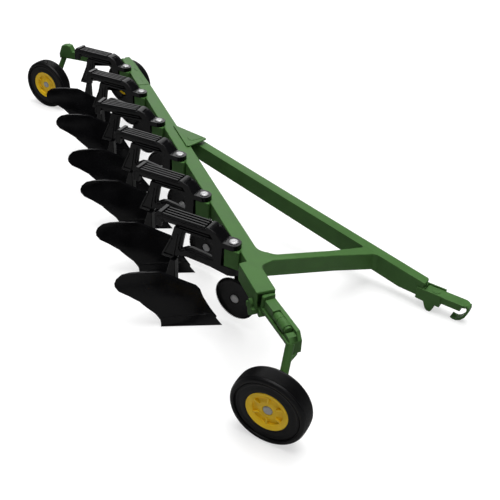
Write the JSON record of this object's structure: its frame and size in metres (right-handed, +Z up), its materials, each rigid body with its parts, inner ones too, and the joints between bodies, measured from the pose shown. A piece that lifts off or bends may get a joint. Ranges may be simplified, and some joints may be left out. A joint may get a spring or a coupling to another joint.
{
  "type": "toy mouldboard plough",
  "caption": "Toy semi-mounted mouldboard plough: a slanting box beam with curved bottoms, disc coulters, gauge wheels and an A-shaped drawbar.",
  "frame": {"origin": "on the floor, in the middle of the plough's box", "axes": "+X the way it travels, +Y its land (left) side, +Z up"},
  "size_m": [0.4402, 0.3082, 0.0641],
  "materials": {
    "green": "satin green enamel on die-cast metal",
    "black": "glossy black moulded plastic",
    "yellow": "satin yellow moulded plastic",
    "rivet": "bright peened rivet",
    "tyre": "soft matt black tyre"
  },
  "bodies": {
    "frame": {"main_beam": "green", "rear_cover": "green", "tongue": "green", "cross_brace": "green", "tongue_gusset": "green", "front_collar": "green", "front_arm": "green", "front_cylinder": "green", "front_spindle": "green", "rear_arm": "green", "rear_spindle": "green", "land_arm": "green", "land_spindle": "green", "hitch_head": "green", "hitch_hook": "green", "hitch_pin": "green", "bracket_1": "green", "standard_1": "black", "spring_bar_1": "black", "mouldboard_1": "black", "bracket_2": "green", "standard_2": "black", "spring_bar_2": "black", "mouldboard_2": "black", "bracket_3": "green", "standard_3": "black", "spring_bar_3": "black", "mouldboard_3": "black", "bracket_4": "green", "standard_4": "black", "spring_bar_4": "black", "mouldboard_4": "black", "bracket_5": "green", "standard_5": "black", "spring_bar_5": "black", "mouldboard_5": "black", "bracket_6": "green", "standard_6": "black", "spring_bar_6": "black", "mouldboard_6": "black", "frame_rivets": "rivet", "coulter_rivets": "rivet", "front_axle": "rivet", "rear_axle": "rivet", "land_axle": "rivet"},
    "front_wheel": {"front_rim": "yellow", "front_tyre": "tyre"},
    "rear_wheel": {"rear_rim": "yellow", "rear_tyre": "tyre"},
    "land_wheel": {"land_rim": "yellow", "land_tyre": "tyre"},
    "coulter_disc_1": {"coulter_1": "black"},
    "coulter_disc_2": {"coulter_2": "black"},
    "coulter_disc_3": {"coulter_3": "black"},
    "coulter_disc_4": {"coulter_4": "black"},
    "coulter_disc_5": {"coulter_5": "black"},
    "coulter_disc_6": {"coulter_6": "black"}
  },
  "joints": [
    {"name": "front_wheel_spin", "type": "hinge", "parent": "frame", "child": "front_wheel", "pos_m": [0.15434, -0.14848, 0.021], "axis": [0, 1, 0], "continuous": true},
    {"name": "rear_wheel_spin", "type": "hinge", "parent": "frame", "child": "rear_wheel", "pos_m": [-0.1991, 0.10605, 0.021], "axis": [0, 1, 0], "continuous": true},
    {"name": "land_wheel_spin", "type": "hinge", "parent": "frame", "child": "land_wheel", "pos_m": [-0.14061, 0.14848, 0.021], "axis": [0, 1, 0], "continuous": true},
    {"name": "coulter_1_spin", "type": "hinge", "parent": "frame", "child": "coulter_disc_1", "pos_m": [-0.10783, 0.10316, 0.0188], "axis": [0.1132, 0.9936, 0], "continuous": true},
    {"name": "coulter_2_spin", "type": "hinge", "parent": "frame", "child": "coulter_disc_2", "pos_m": [-0.06682, 0.06636, 0.0188], "axis": [0.1132, 0.9936, 0], "continuous": true},
    {"name": "coulter_3_spin", "type": "hinge", "parent": "frame", "child": "coulter_disc_3", "pos_m": [-0.02561, 0.03001, 0.0188], "axis": [-0.0262, 0.9997, 0], "continuous": true},
    {"name": "coulter_4_spin", "type": "hinge", "parent": "frame", "child": "coulter_disc_4", "pos_m": [0.0152, -0.00723, 0.0188], "axis": [0.1132, 0.9936, 0], "continuous": true},
    {"name": "coulter_5_spin", "type": "hinge", "parent": "frame", "child": "coulter_disc_5", "pos_m": [0.05622, -0.04403, 0.0188], "axis": [0.1132, 0.9936, 0], "continuous": true},
    {"name": "coulter_6_spin", "type": "hinge", "parent": "frame", "child": "coulter_disc_6", "pos_m": [0.09723, -0.08083, 0.0188], "axis": [0.1132, 0.9936, 0], "continuous": true}
  ]
}
